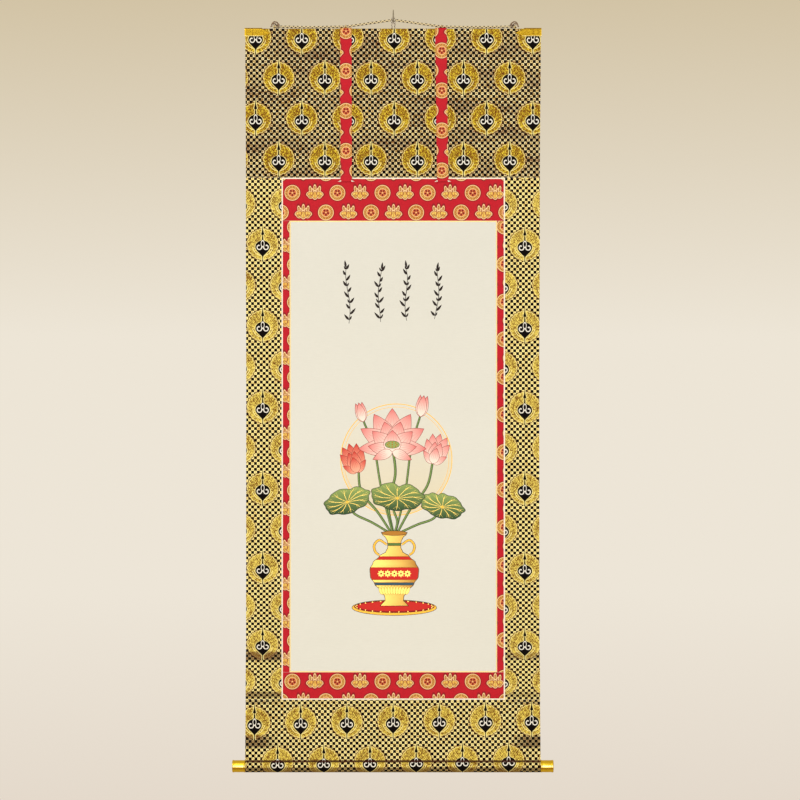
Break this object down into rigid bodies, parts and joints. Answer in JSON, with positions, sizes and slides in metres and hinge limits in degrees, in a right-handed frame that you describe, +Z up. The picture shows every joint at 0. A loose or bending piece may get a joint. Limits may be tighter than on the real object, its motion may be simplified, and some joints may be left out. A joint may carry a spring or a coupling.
{
  "type": "buddhist hanging scroll and hook",
  "caption": "Mounted hanging scroll of patterned brocade round a silk picture, on a rod and roller with gilt ends, hung by its braided cord from a bent wall hook",
  "frame": {"origin": "centre of the hook's end where it meets the wall", "axes": "+X to the right as seen from the front, +Y into the wall, +Z up; the scroll faces -Y and hangs along -Z"},
  "size_m": [0.6433, 0.0309, 1.5258],
  "materials": {
    "outer_brocade": "gold and black figured brocade with a metallic thread",
    "red_brocade": "crimson brocade with pale gold motifs",
    "picture_silk": "plain cream silk with a painted design",
    "white_edging": "plain white silk",
    "gold_edging": "plain pale gold silk",
    "gilt_metal": "gilt, soft shine, engraved on the caps",
    "rod_wood": "plain planed wood",
    "braided_cord": "round braid in cream and brown",
    "hook_iron": "drawn iron wire, a pale grey brown",
    "white_silk": "loose white silk thread"
  },
  "bodies": {
    "root": {"hook": "hook_iron", "top_rod": "rod_wood", "roller": "rod_wood", "knob_left": "gilt_metal", "knob_right": "gilt_metal", "cap_left": "gilt_metal", "cap_right": "gilt_metal", "ring_1": "gilt_metal", "ring_2": "gilt_metal", "ring_3": "gilt_metal", "ring_4": "gilt_metal", "top_panel": "outer_brocade", "side_panel_left": "outer_brocade", "side_panel_right": "outer_brocade", "bottom_panel": "outer_brocade", "white_edging_top": "white_edging", "white_edging_bottom": "white_edging", "white_edging_left": "white_edging", "white_edging_right": "white_edging", "red_band_top": "red_brocade", "red_band_bottom": "red_brocade", "red_band_left": "red_brocade", "red_band_right": "red_brocade", "gold_edging_top": "gold_edging", "gold_edging_bottom": "gold_edging", "gold_edging_left": "gold_edging", "gold_edging_right": "gold_edging", "picture": "picture_silk", "strip_left": "red_brocade", "strip_right": "red_brocade", "tuft_left_strip_left": "white_silk", "tuft_left_strip_right": "white_silk", "tuft_right_strip_left": "white_silk", "tuft_right_strip_right": "white_silk", "hanging_cord": "braided_cord", "knot_left": "braided_cord", "knot_right": "braided_cord", "tie_cord": "braided_cord"}
  },
  "joints": []
}
